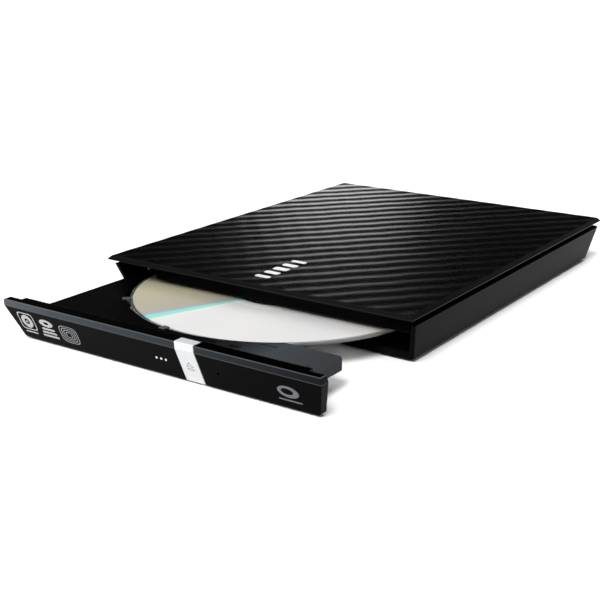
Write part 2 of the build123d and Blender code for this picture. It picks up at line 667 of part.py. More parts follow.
def pickup_sled():
    """Carriage of the laser pickup, bored for the rods and the screw."""
    sled = block(LENS_U - 10, LENS_U + 8, -16, 16, 5.35, 7.7)
    sled += block(LENS_U - 2.6, LENS_U + 2.6, -5.4, 5.4, 7.6, 8.3)
    sled += block(LENS_U - 9, LENS_U - 4, 15.9, 21.2, 5.4, 7.7)
    sled -= block(LENS_U - 2.1, LENS_U + 2.1, -4.9, 4.9, 6.0, 9)
    sled -= block(LENS_U - 9, LENS_U - 5, -2, 6, 5, 8)
    for v in (-ROD_V, ROD_V):
        sled -= rod_x(LENS_U - 11, LENS_U + 9, v, ROD_Z, ROD_R + 0.06)
    sled -= rod_x(LENS_U - 10, LENS_U - 3, SCREW_V, ROD_Z, SCREW_R + 0.07)
    return TRAVERSE * sled


def laser_unit():
    """Laser and detector block in the sled."""
    return TRAVERSE * block(LENS_U - 8.9, LENS_U - 5.1, -1.9, 5.9, 5.5, 7.6)


def lens_holder():
    """Floating frame that focuses the lens."""
    holder = block(LENS_U - 1.8, LENS_U + 1.8, -4.5, 4.5, 6.4, 8.3)
    return TRAVERSE * (holder - post(LENS_U, 0, 6, 9, 1.3))


def lens():
    """Objective lens, domed on top."""
    glass = post(LENS_U, 0, 7.4, 8.5, 1.27)
    return TRAVERSE * fillet([e for e in glass.edges() if e.center().Z > 8.4], 0.35)


PIECES = [base_shell, lid_panel, top_cover, rubber_feet, case_screws, foam_pads, bridge_board, board_chips,
          board_screws, usb_socket, usb_tongue, sata_plug, drive_case, drive_cover, drive_bracket, bracket_screws,
          rear_board, sata_socket, rail_guides, latch_pin, flat_cable, tray, disc_tabs, front_bezel, eject_button,
          light_pipe, front_board, eject_switch, emergency_lever, latch_hook, latch_solenoid, main_board,
          main_chips, eject_plunger, plunger_guide, eject_spring, left_rail, right_rail, traverse_frame,
          guide_rods, lead_screw, sled_motor, motor_base, rotor, turntable, optical_disc, pickup_sled,
          laser_unit, lens_holder, lens]

for make in PIECES:
    export_step(Pos(0, SHIFT_Y, 0) * make(), f"parts/{make.__name__}.step")

for number in range(3):
    export_step(Pos(0, SHIFT_Y, 0) * clamp_pawl(number), f"parts/clamp_pawl_{number + 1}.step")
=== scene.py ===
# %% [markdown]
# # A slim portable disc drive, with its tray part open
# The mechanical model already says where every part is and how it moves. This file loads that model as a
# fixed frame, gives each part its finish, and swaps a few plain solids for finer surfaces: the ridged lid,
# the disc, the ribbon cable and the spring. Lengths are metres, so a size in millimetres is written as
# that number times MM.

# %% Load the frame
import json
from math import cos, pi, radians, sin

import bpy
import numpy as np
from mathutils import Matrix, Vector


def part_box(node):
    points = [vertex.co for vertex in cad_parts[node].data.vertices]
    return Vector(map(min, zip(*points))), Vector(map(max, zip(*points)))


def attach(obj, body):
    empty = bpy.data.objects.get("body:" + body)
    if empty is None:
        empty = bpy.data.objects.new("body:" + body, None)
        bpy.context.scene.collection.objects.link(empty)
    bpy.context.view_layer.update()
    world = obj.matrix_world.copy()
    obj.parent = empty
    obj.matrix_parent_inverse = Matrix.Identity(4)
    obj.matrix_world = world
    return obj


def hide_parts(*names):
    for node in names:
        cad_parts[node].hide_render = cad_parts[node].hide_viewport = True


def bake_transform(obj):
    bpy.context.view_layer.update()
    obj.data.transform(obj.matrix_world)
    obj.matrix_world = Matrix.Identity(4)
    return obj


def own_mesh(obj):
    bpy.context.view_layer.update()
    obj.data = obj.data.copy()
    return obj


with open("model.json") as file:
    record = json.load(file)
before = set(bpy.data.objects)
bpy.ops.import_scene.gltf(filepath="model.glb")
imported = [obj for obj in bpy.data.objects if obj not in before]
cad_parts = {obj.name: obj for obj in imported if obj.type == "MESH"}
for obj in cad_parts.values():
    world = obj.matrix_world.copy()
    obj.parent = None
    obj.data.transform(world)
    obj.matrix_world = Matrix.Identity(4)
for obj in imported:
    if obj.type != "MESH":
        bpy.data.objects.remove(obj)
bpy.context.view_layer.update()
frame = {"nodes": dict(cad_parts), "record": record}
MM = 0.001


# %% [markdown]
# ## Three small tools
# Colours are written the way a paint chart gives them, as sRGB hex, but a renderer adds light up in linear
# values, so one function turns the first into the second. A node network is a list of nodes and the wires
# between them, so one function adds a node, sets it and wires it. A mesh is a list of points and a list of
# faces, so one function puts both into Blender and shades the result.

# %% Colour, node and mesh helpers
def linear(text):
    """Linear RGBA of an sRGB hex colour: below 0.04045 the value over 12.92, above it a power of 2.4."""
    parts = np.array([int(text[i:i + 2], 16) for i in (0, 2, 4)]) / 255
    light = np.where(parts <= 0.04045, parts / 12.92, ((parts + 0.055) / 1.055) ** 2.4)
    return (*[float(v) for v in light], 1.0)


def wire(tree, node, sockets):
    """Sets a node's inputs. A value that is another node's output is linked, and any other is written in."""
    for key, value in sockets.items():
        if isinstance(value, bpy.types.NodeSocket):
            tree.links.new(value, node.inputs[key])
        else:
            node.inputs[key].default_value = value


def add(tree, kind, sockets=None, **settings):
    """Adds one node of that kind with its settings, and fills its inputs."""
    node = tree.nodes.new("ShaderNode" + kind)
    for key, value in settings.items():
        setattr(node, key, value)
    wire(tree, node, sockets or {})
    return node


def new_material(name):
    """A node material, with its tree, its surface shader and the piece's own coordinates in metres."""
    material = bpy.data.materials.new(name)
    material.use_nodes = True
    tree = material.node_tree
    place = add(tree, "TexCoord").outputs["Object"]
    return material, tree, tree.nodes["Principled BSDF"], place


def grid_faces(rows, columns, wrap_rows=False, wrap_columns=True):
    """Quads between neighbouring points of a grid that is stored row by row, closed where it wraps."""
    i = np.arange(rows if wrap_rows else rows - 1)[:, None]
    j = np.arange(columns if wrap_columns else columns - 1)[None, :]
    i2, j2 = (i + 1) % rows, (j + 1) % columns
    corners = [i * columns + j, i * columns + j2, i2 * columns + j2, i2 * columns + j]
    return np.stack(np.broadcast_arrays(*corners), axis=-1).reshape(-1, 4)


def make_piece(name, points, faces, materials, smooth_deg=35.0):
    """A mesh object at the origin. Faces are smooth, and edges sharper than smooth_deg stay crisp."""
    mesh = bpy.data.meshes.new(name)
    mesh.from_pydata(np.asarray(points, float).tolist(), [], [list(map(int, f)) for f in faces])
    mesh.validate()
    mesh.shade_smooth()
    mesh.set_sharp_from_angle(angle=radians(smooth_deg))
    for material in materials:
        mesh.materials.append(material)
    piece = bpy.data.objects.new(name, mesh)
    bpy.context.scene.collection.objects.link(piece)
    print(f"{name}: {len(mesh.vertices)} points, {len(mesh.polygons)} faces")
    return piece


# %% [markdown]
# ## The camera
# The camera stands to the right of the open tray and looks at it from about 18 degrees above the desk. A
# 67.5 mm lens at half a metre keeps the far edges nearly as large as the near ones, which is how small
# products are shown.

# %% Camera
CAMERA_PLACE = Vector((0.2496, -0.3747, 0.1425))
CAMERA_AZIMUTH = radians(33.914)
CAMERA_ELEVATION = radians(17.569)

lens = bpy.data.cameras.new("camera")
lens.lens = 67.51
lens.sensor_width = 36.0
lens.shift_x = -0.0507
lens.shift_y = -0.0075
lens.clip_start = 0.01
camera = bpy.data.objects.new("camera", lens)
camera.location = CAMERA_PLACE
back = Vector((sin(CAMERA_AZIMUTH) * cos(CAMERA_ELEVATION), -cos(CAMERA_AZIMUTH) * cos(CAMERA_ELEVATION),
               sin(CAMERA_ELEVATION)))
camera.rotation_euler = (-back).to_track_quat("-Z", "Y").to_euler()
bpy.context.scene.collection.objects.link(camera)
bpy.context.scene.camera = camera
bpy.context.scene.view_settings.view_transform = "Standard"
print("camera looks along", [round(v, 3) for v in -back])


# %% [markdown]
# ## Floor and light
# Gloss black has almost no colour of its own: what is seen on it is the room. So the room is the main
# control of the look. Here it is a pale floor, a very soft key light from the front, and a dome that glows
# low down behind the object. The glow is what the lid mirrors at its far corner. Above the glow the dome is
# dark, which keeps the lid's near half black, and higher still it is pale again to light the floor evenly.

# %% Floor
FLOOR_HALF = 9.0
AWAY = Vector((-sin(CAMERA_AZIMUTH), cos(CAMERA_AZIMUTH), 0))   # along the floor, away from the camera


def floor_points():
    """A square in the plane z = 0, as a 2 by 2 grid."""
    edge = np.array([-FLOOR_HALF, FLOOR_HALF])
    x, y = np.meshgrid(edge, edge)
    return np.stack([x, y, np.zeros_like(x)], axis=-1).reshape(-1, 3)


def pale_floor():
    """Matt white studio paper: nearly white, with a slow change of tone far too faint to draw the eye."""
    material, tree, shader, place = new_material("pale_floor")
    tone = add(tree, "TexNoise", {"Vector": place, "Scale": 1.5})
    ramp = add(tree, "ValToRGB", {"Fac": tone.outputs["Fac"]})
    ramp.color_ramp.elements[0].color = linear("f6f6f6")
    ramp.color_ramp.elements[1].color = linear("fafafa")
    wire(tree, shader, {"Base Color": ramp.outputs["Color"], "Roughness": 0.9, "Specular IOR Level": 0.1})
    return material


floor = make_piece("floor", floor_points(), grid_faces(2, 2, wrap_columns=False), [pale_floor()])


# %% Dome and soft lights
def dome():
    """Light of the room by direction, as around + low * (band + glow * behind) + spot + top * high. Here low
    falls from 1 to 0 as a direction climbs, behind is 1 on the far side, spot is a soft disc of light low
    down there, high is 1 overhead, and around is faint on every side but the far one."""
    world = bpy.data.worlds.new("studio")
    world.use_nodes = True
    tree = world.node_tree
    way = add(tree, "TexCoord").outputs["Generated"]
    up = add(tree, "SeparateXYZ", {"Vector": way}).outputs["Z"]
    low = add(tree, "MapRange", {"Value": up, "From Min": sin(radians(4)), "From Max": sin(radians(10.5)),
                                 "To Min": 1.0, "To Max": 0.0}, interpolation_type="SMOOTHERSTEP")
    far_side = AWAY
    facing = add(tree, "VectorMath", {0: way, 1: far_side}, operation="DOT_PRODUCT")
    behind = add(tree, "MapRange", {"Value": facing.outputs["Value"], "From Min": 0.985, "From Max": 0.9998},
                 interpolation_type="SMOOTHERSTEP")
    share = add(tree, "Math", {0: behind.outputs["Result"], 1: 3.0, 2: 0.35}, operation="MULTIPLY_ADD")
    glow = add(tree, "Math", {0: low.outputs["Result"], 1: share.outputs[0]}, operation="MULTIPLY")
    high = add(tree, "MapRange", {"Value": up, "From Min": 0.55, "From Max": 0.9},
               interpolation_type="SMOOTHSTEP")
    spot_way = AWAY * cos(radians(8)) + Vector((0, 0, sin(radians(8))))
    nearness = add(tree, "VectorMath", {0: way, 1: spot_way}, operation="DOT_PRODUCT")
    spot = add(tree, "MapRange", {"Value": nearness.outputs["Value"], "From Min": cos(radians(6)),
                                  "From Max": 1.0, "To Max": 1.9}, interpolation_type="SMOOTHERSTEP")
    glow = add(tree, "Math", {0: glow.outputs[0], 1: spot.outputs["Result"]}, operation="ADD")
    around = add(tree, "MapRange", {"Value": facing.outputs["Value"], "From Min": 0.7, "From Max": 0.9,
                                    "To Min": 0.28, "To Max": 0.008}, interpolation_type="SMOOTHSTEP")
    lit = add(tree, "Math", {0: glow.outputs[0], 1: around.outputs["Result"]}, operation="ADD")
    total = add(tree, "Math", {0: high.outputs["Result"], 1: 0.75, 2: lit.outputs[0]},
                operation="MULTIPLY_ADD")
    wire(tree, tree.nodes["Background"], {"Color": linear("ffffff"), "Strength": total.outputs[0]})
    bpy.context.scene.world = world


def soft_light(name, place, target, size, watts, tint="ffffff"):
    """A square area light of that size, turned to face a target."""
    data = bpy.data.lights.new(name, "AREA")
    data.shape = "SQUARE"
    data.size = size
    data.energy = watts
    data.color = linear(tint)[:3]
    light = bpy.data.objects.new(name, data)
    light.location = place
    light.rotation_euler = (Vector(target) - Vector(place)).to_track_quat("-Z", "Y").to_euler()
    light.visible_camera = False
    bpy.context.scene.collection.objects.link(light)


def key_light(toward, strength, spread):
    """A very distant lamp, spread degrees across, so that the floor is equally bright near and far."""
    data = bpy.data.lights.new("key", "SUN")
    data.energy = strength
    data.angle = radians(spread)
    light = bpy.data.objects.new("key", data)
    light.rotation_euler = Vector(toward).to_track_quat("Z", "Y").to_euler()
    light.visible_camera = False
    bpy.context.scene.collection.objects.link(light)


dome()
key_light((0.18, -0.62, 0.78), 3.3, 24)
soft_light("front_left", (-0.5, -0.7, 0.5), (-0.05, -0.12, 0.01), 0.35, 1.5)


# %% [markdown]
# ## Finishes
# Each finish starts from what the real thing is made of and how its surface was made. The shader's own
# numbers (metallic, roughness, index of refraction) say how light leaves it, and small patterns in
# millimetres break up the gloss, because no real moulding is perfectly even.

# %% Patterns that several finishes share
def bumps(tree, place, size_mm, height_mm, detail=2.0, normal=None):
    """Rounded relief: noise with bumps size_mm apart, lifted height_mm along the surface's normal."""
    noise = add(tree, "TexNoise", {"Vector": place, "Scale": 1 / (size_mm * MM), "Detail": detail})
    sockets = {"Height": noise.outputs["Fac"], "Distance": height_mm * MM, "Strength": 1.0}
    if normal is not None:
        sockets["Normal"] = normal
    return add(tree, "Bump", sockets).outputs["Normal"]


def drift(tree, place, size_mm, low, high, detail=3.0):
    """A number that wanders between low and high over patches size_mm wide."""
    noise = add(tree, "TexNoise", {"Vector": place, "Scale": 1 / (size_mm * MM), "Detail": detail})
    spread = add(tree, "MapRange", {"Value": noise.outputs["Fac"], "From Min": 0.3, "From Max": 0.7,
                                    "To Min": low, "To Max": high})
    return spread.outputs["Result"]


def tones(tree, factor, dark, light):
    """A colour between two hex colours, by a factor from 0 to 1."""
    ramp = add(tree, "ValToRGB", {"Fac": factor})
    ramp.color_ramp.elements[0].color = linear(dark)
    ramp.color_ramp.elements[1].color = linear(light)
    return ramp.outputs["Color"]


def soft_edges(tree, radius_mm):
    """The normal that a small moulded radius would give along a solid's edges."""
    return add(tree, "Bevel", {"Radius": radius_mm * MM}, samples=4).outputs["Normal"]


# %% [markdown]
# ### Gloss black ABS
# The base, the inner cover and the bezel are ABS moulded against a polished steel tool. That gives a deep
# black with a mirror-like skin, a very faint orange peel about a millimetre across, and edges with a radius
# of a third of a millimetre that catch the light as a thin line.

# %% Gloss black
def gloss_black(name="gloss_black_abs", roughness=(0.10, 0.16), level=0.01):
    """Polished black ABS: index of refraction 1.53, with roughness that wanders a little. The specular level
    is far below the plastic's true 0.5, because the white floor would otherwise turn the walls grey."""
    material, tree, shader, place = new_material(name)
    shade = tones(tree, drift(tree, place, 25, 0, 1), "040405", "070708")
    normal = bumps(tree, place, 1.2, 0.0012, normal=soft_edges(tree, 0.3))
    wire(tree, shader, {"Base Color": shade, "Roughness": drift(tree, place, 14, *roughness),
                        "IOR": 1.53, "Specular IOR Level": level, "Normal": normal})
    return material


# %% [markdown]
# ### Lid black
# The lid is the same plastic, but its tool has a satin skin between the ridges, so reflections on it are a
# little wider and run together along each ridge.

# %% Lid black
def lid_black():
    """Black ABS from a satin tool, with hairline rub marks that run along the ridges."""
    material, tree, shader, place = new_material("lid_black_abs")
    turned = add(tree, "Mapping", {"Vector": place, "Rotation": (0, 0, -radians(48)), "Scale": (0.06, 1, 1)})
    rub = add(tree, "TexNoise", {"Vector": turned.outputs["Vector"], "Scale": 1 / (0.8 * MM), "Detail": 3.0})
    rough = add(tree, "MapRange", {"Value": rub.outputs["Fac"], "From Min": 0.3, "From Max": 0.7,
                                   "To Min": 0.15, "To Max": 0.17})
    shade = tones(tree, drift(tree, place, 30, 0, 1), "030304", "050506")
    wire(tree, shader, {"Base Color": shade, "Roughness": rough.outputs["Result"], "IOR": 1.53,
                        "Specular IOR Level": 0.08, "Normal": bumps(tree, place, 5.0, 0.0006, detail=0.0)})
    return material


# %% [markdown]
# ### Tray black
# The tray is a black blend with a fine spark-eroded grain, a quarter of a millimetre from bump to bump. The
# grain scatters light, so the tray looks dark grey where the light grazes it and black where it doesn't.

# %% Matt blacks
def grained_black(name="grained_black", dark="101113", light="17181a", roughness=0.42, size_mm=0.35):
    """Spark-eroded black moulding: a fine grain, with a slow change of tone over a few centimetres."""
    material, tree, shader, place = new_material(name)
    shade = tones(tree, drift(tree, place, 30, 0, 1), dark, light)
    normal = bumps(tree, place, size_mm, 0.02, detail=1.0, normal=soft_edges(tree, 0.2))
    rough = drift(tree, place, 8, roughness - 0.05, roughness + 0.05)
    wire(tree, shader, {"Base Color": shade, "Roughness": rough, "IOR": 1.5, "Normal": normal})
    return material


def rubber():
    """Moulded silicone rubber: soft black, very rough, with a faint dusty bloom."""
    material, tree, shader, place = new_material("feet_rubber")
    shade = tones(tree, drift(tree, place, 3, 0, 1), "1a1a1b", "262627")
    wire(tree, shader, {"Base Color": shade, "Roughness": 0.85, "IOR": 1.42,
                        "Normal": bumps(tree, place, 0.4, 0.03)})
    return material


def foam():
    """Closed-cell foam: charcoal, with cells half a millimetre wide."""
    material, tree, shader, place = new_material("closed_cell_foam")
    cells = add(tree, "TexVoronoi", {"Vector": place, "Scale": 1 / (0.5 * MM)})
    shade = tones(tree, cells.outputs["Distance"], "2c2c2e", "48484a")
    relief = add(tree, "Bump", {"Height": cells.outputs["Distance"], "Distance": 0.1 * MM})
    wire(tree, shader, {"Base Color": shade, "Roughness": 0.95, "IOR": 1.45,
                        "Normal": relief.outputs["Normal"]})
    return material


def chip_epoxy():
    """Black epoxy of a chip's body, with a fine sand-like grain."""
    material, tree, shader, place = new_material("chip_epoxy")
    shade = tones(tree, drift(tree, place, 0.3, 0, 1), "1b1b1c", "29292a")
    wire(tree, shader, {"Base Color": shade, "Roughness": 0.6, "IOR": 1.55,
                        "Normal": bumps(tree, place, 0.15, 0.01, normal=soft_edges(tree, 0.1))})
    return material


# %% [markdown]
# ### Silver paint
# The eject strip is moulded plastic with a satin silver lacquer: aluminium flakes a tenth of a millimetre
# across in clear binder. It is bright from every side, and its flakes make it sparkle only slightly.

# %% Silver paint
def silver_paint():
    """Satin silver lacquer: half metallic, pale, with flakes drawn 0.3 mm wide so that they show."""
    material, tree, shader, place = new_material("silver_lacquer")
    flakes = add(tree, "TexVoronoi", {"Vector": place, "Scale": 1 / (0.3 * MM)})
    shade = tones(tree, flakes.outputs["Color"], "c4c5c6", "d2d3d4")
    wire(tree, shader, {"Base Color": shade, "Metallic": 0.25, "Roughness": 0.38, "IOR": 1.5,
                        "Normal": bumps(tree, place, 0.3, 0.004, normal=soft_edges(tree, 0.25))})
    return material


# %% [markdown]
# ### Metals
# The drive's own case is zinc-coated steel sheet. Zinc freezes in flat crystals a few millimetres wide,
# called spangle, each a slightly different grey. Screws, rods and springs are bright steel, turned or drawn,
# so their fine lines run round or along them.

# %% Metals
def zinc_sheet():
    """Zinc-coated steel: crystals about 4 mm wide, each with its own tone and roughness."""
    material, tree, shader, place = new_material("zinc_sheet")
    spangle = add(tree, "TexVoronoi", {"Vector": place, "Scale": 1 / (4 * MM)})
    tone = add(tree, "SeparateColor", {"Color": spangle.outputs["Color"]})
    shade = tones(tree, tone.outputs["Red"], "9b9d9c", "b5b7b6")
    rough = add(tree, "MapRange", {"Value": tone.outputs["Green"], "To Min": 0.32, "To Max": 0.46})
    wire(tree, shader, {"Base Color": shade, "Metallic": 1.0, "Roughness": rough.outputs["Result"],
                        "Normal": bumps(tree, place, 0.6, 0.004, normal=soft_edges(tree, 0.2))})
    return material


def bright_steel():
    """Bright drawn steel with faint tool lines 0.2 mm apart."""
    material, tree, shader, place = new_material("bright_steel")
    lines = add(tree, "TexWave", {"Vector": place, "Scale": 1 / (0.2 * MM) / 20, "Distortion": 3.0})
    shade = tones(tree, lines.outputs["Fac"], "b2b3b5", "c6c7c9")
    rough = add(tree, "MapRange", {"Value": lines.outputs["Fac"], "To Min": 0.2, "To Max": 0.3})
    wire(tree, shader, {"Base Color": shade, "Metallic": 1.0, "Roughness": rough.outputs["Result"],
                        "Normal": soft_edges(tree, 0.15)})
    return material


def copper_wire():
    """Enamelled copper winding: reddish wire 0.25 mm thick, laid side by side."""
    material, tree, shader, place = new_material("enamelled_copper")
    turns = add(tree, "TexWave", {"Vector": place, "Scale": 1 / (0.25 * MM) / 20})
    shade = tones(tree, turns.outputs["Fac"], "7a3a1c", "c2703e")
    relief = add(tree, "Bump", {"Height": turns.outputs["Fac"], "Distance": 0.08 * MM})
    wire(tree, shader, {"Base Color": shade, "Metallic": 0.8, "Roughness": 0.3, "Coat Weight": 0.6,
                        "Normal": relief.outputs["Normal"]})
    return material


# %% [markdown]
# ### Boards, ribbon and small plastics
# A circuit board is glass cloth and resin under a green solder mask. Copper tracks under the mask show as
# paler, slightly raised lines. The ribbon is white polyester with flat conductors a millimetre apart.

# %% Boards, ribbon and small plastics
def circuit_board():
    """Green mask over tracks that are drawn as a brick pattern of lines 1.3 mm apart."""
    material, tree, shader, place = new_material("circuit_board")
    tracks = add(tree, "TexBrick", {"Vector": place, "Scale": 1.0, "Mortar Size": 0.2 * MM,
                                    "Brick Width": 7.0 * MM, "Row Height": 1.3 * MM,
                                    "Color1": linear("0d4a25"), "Color2": linear("0f5229"),
                                    "Mortar": linear("2c7a45")})
    relief = add(tree, "Bump", {"Height": tracks.outputs["Fac"], "Distance": 0.03 * MM})
    rough = drift(tree, place, 5, 0.28, 0.38)
    wire(tree, shader, {"Base Color": tracks.outputs["Color"], "Roughness": rough, "IOR": 1.52,
                        "Normal": relief.outputs["Normal"]})
    return material


def acetal():
    """Natural acetal: creamy white, waxy, with a trace of light passing under the surface."""
    material, tree, shader, place = new_material("natural_acetal")
    shade = tones(tree, drift(tree, place, 6, 0, 1), "c9c6bc", "d8d5cc")
    wire(tree, shader, {"Base Color": shade, "Roughness": 0.42, "IOR": 1.48, "Subsurface Weight": 0.1,
                        "Subsurface Scale": 0.5 * MM,
                        "Normal": bumps(tree, place, 0.8, 0.004, normal=soft_edges(tree, 0.15))})
    return material


def clear_pipe():
    """Frosted end of a clear light pipe, with a little lamp light in it."""
    material, tree, shader, place = new_material("clear_pipe")
    shade = tones(tree, drift(tree, place, 0.5, 0, 1), "c6cacd", "d6d9dc")
    wire(tree, shader, {"Base Color": shade, "Roughness": 0.3, "IOR": 1.49, "Transmission Weight": 0.3,
                        "Emission Color": linear("f4f7ff"), "Emission Strength": 0.08})
    return material


def coated_glass():
    """Moulded glass lens with a violet anti-reflection coat."""
    material, tree, shader, place = new_material("coated_glass")
    rough = drift(tree, place, 1, 0.01, 0.04)
    wire(tree, shader, {"Base Color": linear("c9d0f5"), "Roughness": rough, "IOR": 1.6,
                        "Transmission Weight": 0.85, "Coat Weight": 1.0, "Coat Tint": linear("b9a6ff")})
    return material


def ribbon_film():
    """White polyester ribbon: flat conductors 1 mm apart show through as greyer stripes."""
    material, tree, shader, place = new_material("ribbon_film")
    across = add(tree, "SeparateXYZ", {"Vector": place}).outputs["X"]
    phase = add(tree, "Math", {0: across, 1: 2 * pi / (1.0 * MM)}, operation="MULTIPLY")
    stripe = add(tree, "Math", {0: phase.outputs[0]}, operation="SINE")
    factor = add(tree, "MapRange", {"Value": stripe.outputs[0], "From Min": -0.2, "From Max": 0.4})
    wire(tree, shader, {"Base Color": tones(tree, factor.outputs["Result"], "c3c5c2", "e8e9e6"),
                        "Roughness": drift(tree, place, 4, 0.35, 0.45), "IOR": 1.6})
    return material


# %% [markdown]
# ### Which part has which finish
# The record lists a finish for every part, so one loop hands them out. A few parts show a difference that
# the list is too short for, such as the disc hooks, whose paler grey is a painted highlight.

# %% Bezel and tray finishes
def set_stops(ramp, stops):
    """Fills a colour ramp with (position from 0 to 1, hex colour) pairs."""
    while len(ramp.elements) < len(stops):
        ramp.elements.new(0.5)
    for element, (at, tint) in zip(ramp.elements, stops):
        element.position = at
        element.color = linear(tint)


def across_tone(tree, place, stops):
    """A colour read from the position across the drive: stops are (x in mm, hex colour)."""
    x = add(tree, "SeparateXYZ", {"Vector": place}).outputs["X"]
    first, last = stops[0][0], stops[-1][0]
    along = add(tree, "MapRange", {"Value": x, "From Min": first * MM, "From Max": last * MM})
    node = add(tree, "ValToRGB", {"Fac": along.outputs["Result"]})
    set_stops(node.color_ramp, [((at - first) / (last - first), tint) for at, tint in stops])
    return node.outputs["Color"]


def bezel_black():
    """The bezel's face is polished, and the upright band along its top has the semi-gloss skin of a lapped
    tool. A mask
    on the height sorts the two: band = 1 from 13.6 mm up to 16.2 mm, and 0 on the flat top. The band's grey,
    its fall in tone from left to right, and the thin pale lines along its two edges are painted highlights:
    effects of light on a real bezel, set in the colour here, so they don't move with the eye. The face's
    fall from near black to black, left to right, is a painted reflection."""
    material, tree, shader, place = new_material("bezel_black_abs")
    axes = add(tree, "SeparateXYZ", {"Vector": place}).outputs
    above = add(tree, "MapRange", {"Value": axes["Z"], "From Min": 13.5 * MM, "From Max": 13.7 * MM})
    top = add(tree, "MapRange", {"Value": axes["Z"], "From Min": 16.15 * MM, "From Max": 16.25 * MM})
    band = add(tree, "Math", {0: above.outputs["Result"], 1: top.outputs["Result"]},
               operation="SUBTRACT").outputs[0]
    # painted highlight: the band's grey, paler on the left and darker to the right, stands in for light on
    # it
    band_painted_sheen = across_tone(tree, place, [(-70, "4a4e52"), (-45, "3d4144"), (0, "303336"), (70, "151618")])
    # painted reflection: the face falls from near black on the left to black on the right
    face = across_tone(tree, place, [(-70, "060607"), (5, "040404"), (25, "010101"), (70, "010101")])
    shade = add(tree, "Mix", {0: band, 6: face, 7: band_painted_sheen}, data_type="RGBA").outputs[2]   # 6, 7: its colours
    height = add(tree, "MapRange", {"Value": axes["Z"], "From Min": 13 * MM, "From Max": 17 * MM})
    # painted highlights: thin pale lines along the band's two edges
    lines = add(tree, "ValToRGB", {"Fac": height.outputs["Result"]})
    stops = [(13.4, "000000"), (13.6, "8c8c8c"), (13.75, "8c8c8c"), (13.9, "000000"),
             (15.9, "000000"), (16.05, "a0a0a0"), (16.2, "a0a0a0"), (16.28, "000000")]
    set_stops(lines.color_ramp, [((z - 13) / 4, tint) for z, tint in stops])
    shade = add(tree, "Mix", {0: lines.outputs["Color"], 6: shade, 7: linear("686c70")},
                data_type="RGBA").outputs[2]
    rough = add(tree, "MapRange", {"Value": band, "To Min": 0.12, "To Max": 0.3})
    normal = bumps(tree, place, 1.2, 0.001, normal=soft_edges(tree, 0.3))
    wire(tree, shader, {"Base Color": shade, "Roughness": rough.outputs["Result"],
                        "IOR": 1.53, "Specular IOR Level": 0.012, "Normal": normal})
    return material


def tray_black():
    """Grained black. The wing on the right is set paler, for the light that its grain would catch."""
    material, tree, shader, place = new_material("tray_black")
    shade = across_tone(tree, place, [(-64, "020203"), (10, "050505"), (24, "1c1d1f"), (38, "393c3f"),
                                      (62, "303235")])
    normal = bumps(tree, place, 0.5, 0.03, detail=1.0, normal=soft_edges(tree, 0.2))
    wire(tree, shader, {"Base Color": shade, "Roughness": drift(tree, place, 8, 0.3, 0.36), "IOR": 1.5,
                        "Specular IOR Level": 0.02, "Normal": normal})
    return material


# %% Finishes on the loaded parts
FINISHES = {
    "gloss_black": gloss_black(), "patterned_black": lid_black(), "matte_black": grained_black(),
    "silver_plastic": silver_paint(), "feet_rubber": rubber(), "pad_foam": foam(),
    "zinc_sheet": zinc_sheet(), "bright_steel": bright_steel(), "circuit_board": circuit_board(),
    "chip_black": chip_epoxy(), "acetal": acetal(), "clear_pipe": clear_pipe(),
    "lens_glass": coated_glass(), "ribbon": ribbon_film(), "copper_coil": copper_wire(),
}
SPECIAL = {
    "front_bezel": bezel_black(), "tray": tray_black(),
    # painted highlight: the disc hooks are set in a paler grey than the tray's black
    "disc_tabs": grained_black("hooks_painted_highlight", "3c3e42", "50535a", 0.3, 0.6),
}


def give(node, material):
    """Puts one material on a loaded part."""
    mesh = frame["nodes"][node].data
    mesh.materials.clear()
    mesh.materials.append(material)


SLOT_OF = {part["node"]: part["material_slot"] for part in frame["record"]["subparts"]}
for node, slot in SLOT_OF.items():
    give(node, SPECIAL.get(node) or FINISHES.get(slot) or FINISHES["matte_black"])
print(len(SLOT_OF), "parts have", len(FINISHES) + len(SPECIAL), "finishes")


# %% [markdown]
# ## The ridged lid
# The lid's top is moulded in long shallow waves that cross it at 48 degrees, nine millimetres from crest to
# crest and only a third of a millimetre deep. On gloss black such a wave shows as a bright and a dark line,
# because one side mirrors the low light and the other the dark above. A fainter family of waves crosses it.
# A height for every point of a grid is the simple way to make this: the bevel is the lower of the wave and
# a 45 degree plane from the edge, so the ridges run out in it as scallops with no cutting at all.

# %% Lid surface
RIDGE_ANGLE = radians(48)
RIDGE_PITCH = 9.0 * MM
RIDGE_DEPTH = 0.1 * MM
CROSS_PITCH = 9.3 * MM
CROSS_DEPTH = 0.03 * MM
LID_RIM = 0.4 * MM


def edge_spaced(low, high, step, fine, margin):
    """Positions from low to high: fine apart within a margin of both ends, and about step apart between."""
    near = np.arange(0, margin, fine)
    count = int(np.ceil((high - low - 2 * margin) / step)) + 1
    return np.concatenate([low + near, np.linspace(low + margin, high - margin, count), high - near[::-1]])


def wave(x, y, angle, pitch, sway=0.0):
    """1 at a crest and 0 in a valley, for crests that run at an angle. Sway bends them gently."""
    across = -x * sin(angle) + y * cos(angle)
    along = x * cos(angle) + y * sin(angle)
    across = across + sway * np.sin(2 * pi * along / (23 * MM) + 1.3 * np.sin(across / (17 * MM)))
    return 0.5 + 0.5 * np.cos(2 * pi * across / pitch)


def lid_top(x, y, low, high):
    """Height of the lid. The wave and the bevel plane are joined by a smooth minimum:
    h = min(a, b) - (k - |a - b|)^2 / 4k where they are closer than k."""
    ridges = high.z - 0.02 * MM - RIDGE_DEPTH * (1 - wave(x, y, RIDGE_ANGLE, RIDGE_PITCH, 0.22 * MM))
    ridges = ridges - CROSS_DEPTH * (1 - wave(x, y, -RIDGE_ANGLE, CROSS_PITCH))
    edge = np.minimum(np.minimum(x - low.x, high.x - x), np.minimum(y - low.y, high.y - y))
    bevel = low.z + LID_RIM + edge
    k = 0.2 * MM
    overlap = np.clip(k - np.abs(ridges - bevel), 0, None)
    return np.minimum(ridges, bevel) - overlap ** 2 / (4 * k)


